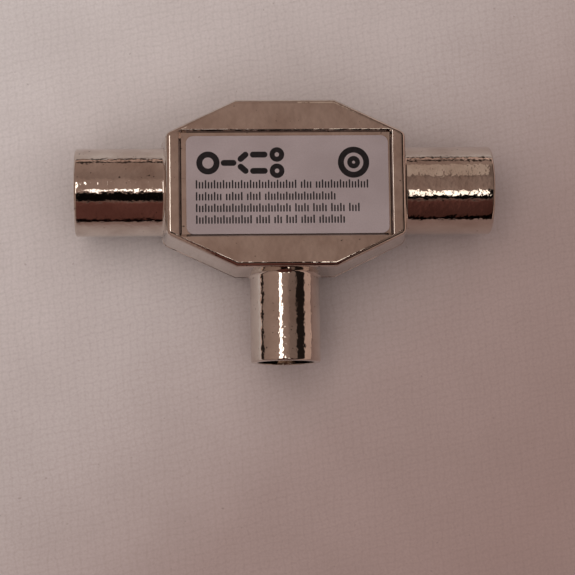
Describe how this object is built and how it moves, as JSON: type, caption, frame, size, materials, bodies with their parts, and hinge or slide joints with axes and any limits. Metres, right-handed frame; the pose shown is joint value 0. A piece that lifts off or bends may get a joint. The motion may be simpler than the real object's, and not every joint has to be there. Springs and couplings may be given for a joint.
{
  "type": "coaxial splitter",
  "caption": "Two-way coaxial aerial splitter: flat eight-sided metal body, socket barrels at both ends, slimmer plug barrel on one side.",
  "frame": {"origin": "on the back face, under the point where the axes of the three barrels cross", "axes": "+X along the sockets' common axis towards the right socket, -Y along the plug, +Z out of the label side, away from the surface it lies on"},
  "size_m": [0.0568, 0.0353, 0.016],
  "materials": {
    "nickel_plate": "bright nickel plate with a slight orange peel",
    "label_film": "matt silver-grey film",
    "white_plastic": "moulded, off-white, satin",
    "contact_brass": "nickel-flashed brass",
    "ferrite": "dark grey, matt, fired",
    "enamelled_copper": "clear red-brown enamel over copper",
    "resistor_coating": "beige lacquer",
    "capacitor_coating": "ochre dip coating",
    "tinned_wire": "tinned, satin",
    "solder": "smooth tin solder"
  },
  "bodies": {
    "root": {"housing": "nickel_plate", "rear_cover": "nickel_plate", "front_label": "label_film", "left_socket_insulator": "white_plastic", "right_socket_insulator": "white_plastic", "plug_insulator": "white_plastic", "left_socket_contact": "contact_brass", "right_socket_contact": "contact_brass", "plug_pin": "contact_brass", "matching_core": "ferrite", "hybrid_core": "ferrite", "matching_winding": "enamelled_copper", "hybrid_winding": "enamelled_copper", "balancing_resistor": "resistor_coating", "left_resistor_lead": "tinned_wire", "right_resistor_lead": "tinned_wire", "compensation_capacitor": "capacitor_coating", "live_capacitor_lead": "tinned_wire", "earth_capacitor_lead": "tinned_wire", "plug_solder_joint": "solder", "left_solder_joint": "solder", "right_solder_joint": "solder", "centre_solder_joint": "solder", "earth_solder_joint": "solder"}
  },
  "joints": []
}
